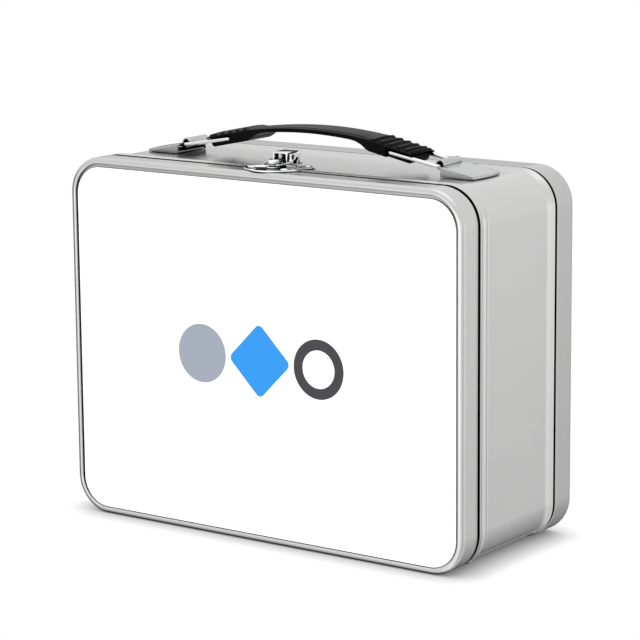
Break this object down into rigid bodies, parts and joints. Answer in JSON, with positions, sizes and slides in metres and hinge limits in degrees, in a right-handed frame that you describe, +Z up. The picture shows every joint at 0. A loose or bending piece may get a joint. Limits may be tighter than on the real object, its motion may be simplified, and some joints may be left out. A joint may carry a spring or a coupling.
{
  "type": "metal lunch box",
  "caption": "Rounded tinplate lunch box with a white front panel, bottom-hinged lid, snap latch and a lifting black handle on wire rings.",
  "frame": {"origin": "middle of the box's footprint, at the height the box stands on", "axes": "+Z up, +X to the right seen from the front, +Y from the lid towards the back cover"},
  "size_m": [0.2, 0.085, 0.1707],
  "materials": {
    "tinplate": "satin tin plating, very fine grain, light grey",
    "white_coating": "smooth white coated plate, semi-gloss",
    "black_plastic": "moulded black plastic, satin",
    "chrome_fittings": "bright nickel-chrome plating",
    "hinge_steel": "plain plated steel"
  },
  "bodies": {
    "box": {"body_band": "tinplate", "back_cover": "tinplate", "hinge_body_leaf_left": "hinge_steel", "hinge_body_leaf_right": "hinge_steel", "hinge_pin_left": "hinge_steel", "hinge_pin_right": "hinge_steel", "handle_bracket_left": "chrome_fittings", "handle_bracket_right": "chrome_fittings", "bracket_rivet_left_front": "chrome_fittings", "bracket_rivet_left_rear": "chrome_fittings", "bracket_rivet_right_front": "chrome_fittings", "bracket_rivet_right_rear": "chrome_fittings", "latch_base": "chrome_fittings", "latch_pin": "chrome_fittings", "latch_rivet_left": "chrome_fittings", "latch_rivet_right": "chrome_fittings"},
    "lid": {"lid_shell": "tinplate", "front_panel": "white_coating", "hinge_lid_leaf_left": "hinge_steel", "hinge_lid_leaf_right": "hinge_steel", "catch_plate": "chrome_fittings", "catch_stud": "chrome_fittings", "catch_rivet_left": "chrome_fittings", "catch_rivet_right": "chrome_fittings"},
    "latch": {"latch_lever": "chrome_fittings"},
    "grip": {"handle_grip": "black_plastic"},
    "ring_left": {"handle_ring_left": "chrome_fittings"},
    "ring_right": {"handle_ring_right": "chrome_fittings"}
  },
  "joints": [
    {"name": "lid_hinge", "type": "hinge", "parent": "box", "child": "lid", "pos_m": [0, -0.0305, 0.0012], "axis": [1, 0, 0], "range_deg": [0, 110]},
    {"name": "latch_swing", "type": "hinge", "parent": "box", "child": "latch", "pos_m": [0, -0.018, 0.1583], "axis": [-1, 0, 0], "range_deg": [0, 90]},
    {"name": "handle_lift", "type": "slide", "parent": "box", "child": "grip", "axis": [0, 0, 1], "range_m": [0, 0.008]},
    {"name": "ring_left_swing", "type": "hinge", "parent": "box", "child": "ring_left", "pos_m": [-0.0653, 0.0011, 0.15925], "axis": [0, -1, 0], "range_deg": [0, 21]},
    {"name": "ring_right_swing", "type": "hinge", "parent": "box", "child": "ring_right", "pos_m": [0.0653, 0.0011, 0.15925], "axis": [0, 1, 0], "range_deg": [0, 21]}
  ],
  "couplings": [
    {"joint": "ring_left_swing", "follows": "handle_lift", "rad_per_m": 43.6},
    {"joint": "ring_right_swing", "follows": "handle_lift", "rad_per_m": 43.6}
  ]
}
